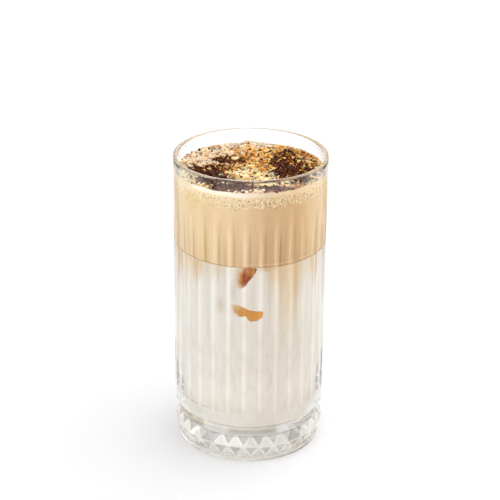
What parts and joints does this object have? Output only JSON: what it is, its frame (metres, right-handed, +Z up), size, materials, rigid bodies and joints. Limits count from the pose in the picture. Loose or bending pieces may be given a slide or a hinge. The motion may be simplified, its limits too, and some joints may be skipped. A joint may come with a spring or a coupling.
{
  "type": "dalgona coffee",
  "caption": "Iced coffee drink of milk, tan coffee and whipped foam with cocoa powder in a tall fluted glass.",
  "frame": {"origin": "centre of the foot ring on the plane that the glass stands on", "axes": "+Z up along the axis of the glass, -Y towards the front"},
  "size_m": [0.0748, 0.0748, 0.15],
  "materials": {
    "clear_glass": "clear pressed soda glass, polished",
    "milk": "opaque milk with a little coffee in it",
    "coffee": "opaque milky coffee, tan",
    "foam": "coarse whipped coffee foam with bubbles and cocoa powder"
  },
  "bodies": {
    "root": {"glass": "clear_glass", "milk": "milk", "coffee": "coffee", "foam": "foam"}
  },
  "joints": []
}
